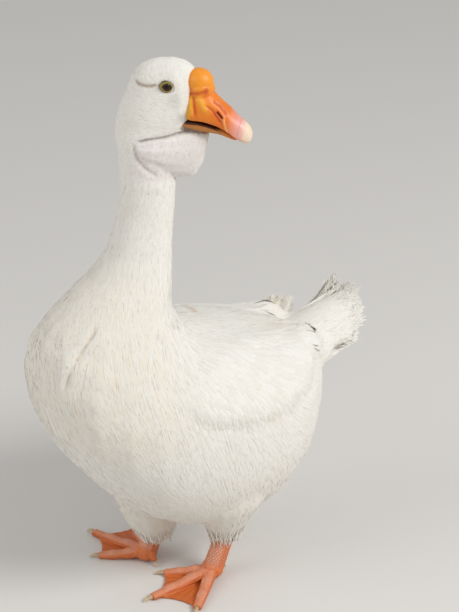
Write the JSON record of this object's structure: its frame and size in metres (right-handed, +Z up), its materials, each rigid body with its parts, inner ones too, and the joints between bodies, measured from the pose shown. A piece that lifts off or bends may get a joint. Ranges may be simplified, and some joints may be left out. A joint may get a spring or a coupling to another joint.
{
  "type": "domestic goose",
  "caption": "Life-size white domestic goose with a knobbed orange bill and a dewlap, standing on its feet with its head turned far round to its left.",
  "frame": {"origin": "on the floor, under the middle of the goose's outline seen from above", "axes": "+Z up, -Y the way the body faces, +X to the goose's left"},
  "size_m": [0.269, 0.48, 0.7178],
  "materials": {
    "plumage": "white feathers, matt, faintly streaked with cream",
    "bill": "orange horny skin, satin, pinker towards the tip",
    "horn": "pale cream horn, satin",
    "leg_skin": "orange-pink scaly skin, satin",
    "eye": "dark brown, wet gloss"
  },
  "bodies": {
    "root": {"trunk": "plumage", "neck_lower": "plumage", "neck_upper": "plumage", "head": "plumage", "eye_left": "eye", "eye_right": "eye", "bill_upper": "bill", "nail": "horn", "knob": "bill", "bill_lower": "bill", "dewlap": "plumage", "wing_left": "plumage", "wing_right": "plumage", "tail": "plumage", "thigh_left": "plumage", "shank_left": "leg_skin", "foot_left": "leg_skin", "claw_left_inner": "horn", "claw_left_middle": "horn", "claw_left_outer": "horn", "claw_left_hind": "horn", "thigh_right": "plumage", "shank_right": "leg_skin", "foot_right": "leg_skin", "claw_right_inner": "horn", "claw_right_middle": "horn", "claw_right_outer": "horn", "claw_right_hind": "horn"}
  },
  "joints": []
}
